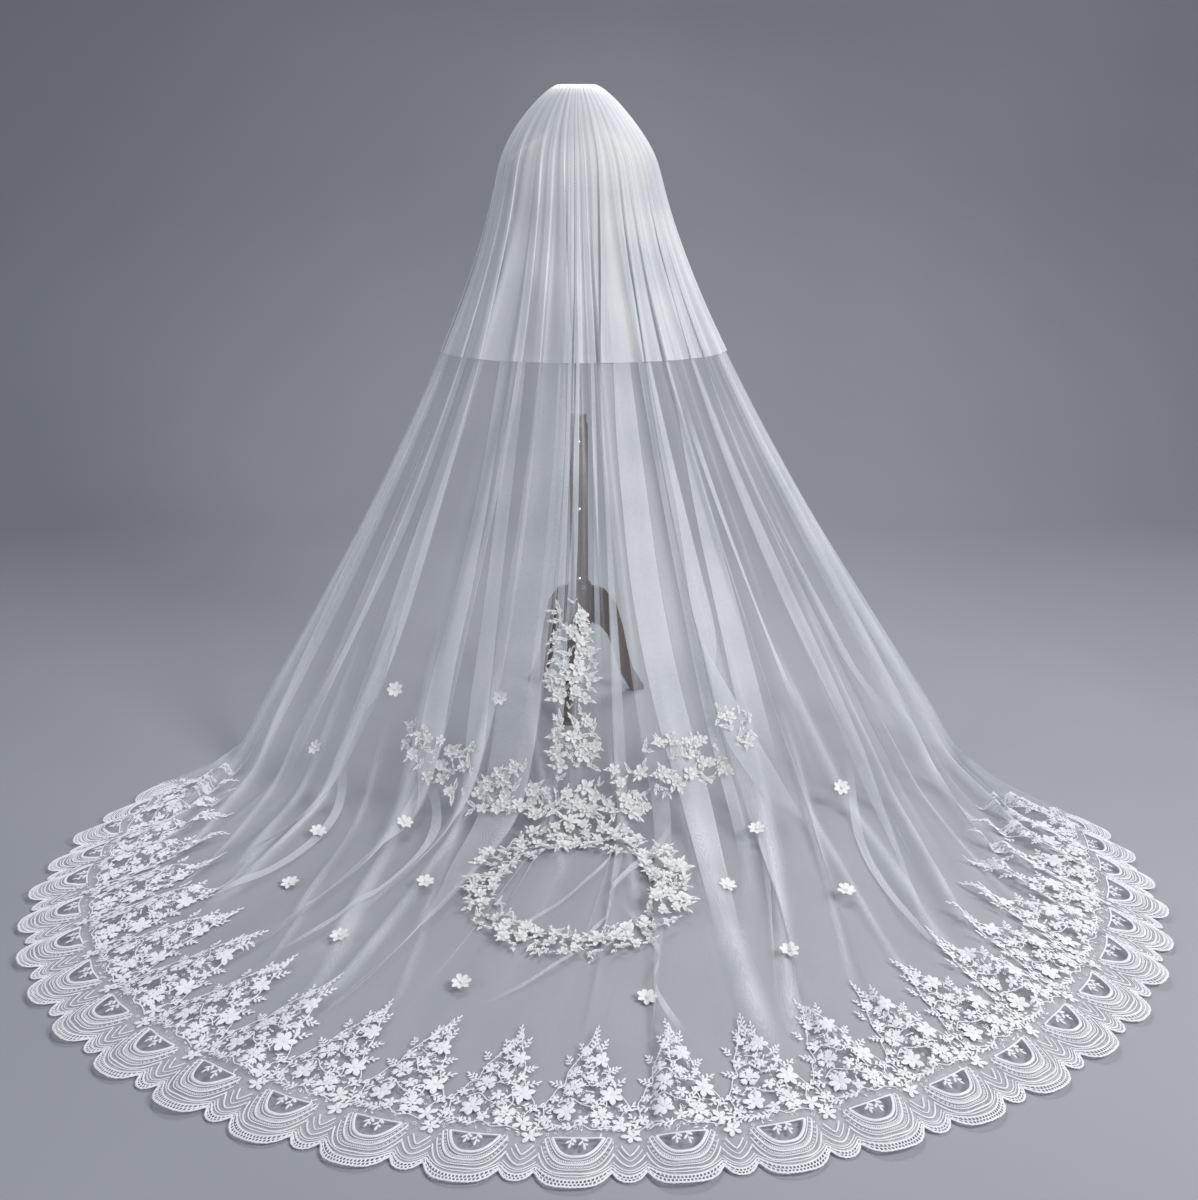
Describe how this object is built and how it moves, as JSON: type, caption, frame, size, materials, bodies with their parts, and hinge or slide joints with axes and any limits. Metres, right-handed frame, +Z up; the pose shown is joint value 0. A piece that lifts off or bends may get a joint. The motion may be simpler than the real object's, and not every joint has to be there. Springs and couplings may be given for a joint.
{
  "type": "bridal veil on dress form",
  "caption": "Two-tier cathedral bridal veil with a lace border and flower appliques, standing on a limbless dress form, its train spread on the floor.",
  "frame": {"origin": "middle of the whole part in plan, on the floor that its feet and train lie on", "axes": "+Z up, -Y the way the train runs out behind the dress form, +X to the right of someone looking at the train from behind it"},
  "size_m": [2.4102, 1.9771, 1.656],
  "materials": {
    "tulle": "sheer satin",
    "lace": "matt",
    "applique": "satin",
    "comb_plastic": "satin",
    "form_linen": "matt",
    "dark_wood": "satin varnish",
    "steel": "satin"
  },
  "bodies": {
    "root": {"long_tier": "tulle", "short_tier": "tulle", "comb": "comb_plastic", "lace_left": "lace", "lace_front": "lace", "lace_right": "lace", "applique_column": "applique", "applique_garland": "applique", "applique_ring": "applique", "flower_01": "applique", "flower_02": "applique", "flower_03": "applique", "flower_04": "applique", "flower_05": "applique", "flower_06": "applique", "flower_07": "applique", "flower_08": "applique", "flower_09": "applique", "flower_10": "applique", "flower_11": "applique", "flower_12": "applique", "flower_13": "applique", "flower_14": "applique", "flower_15": "applique", "torso": "form_linen", "neck_cap": "dark_wood", "rod": "steel", "post": "dark_wood", "hub": "dark_wood", "leg_1": "dark_wood", "leg_2": "dark_wood", "leg_3": "dark_wood", "screw_1": "steel", "screw_2": "steel", "screw_3": "steel"}
  },
  "joints": []
}
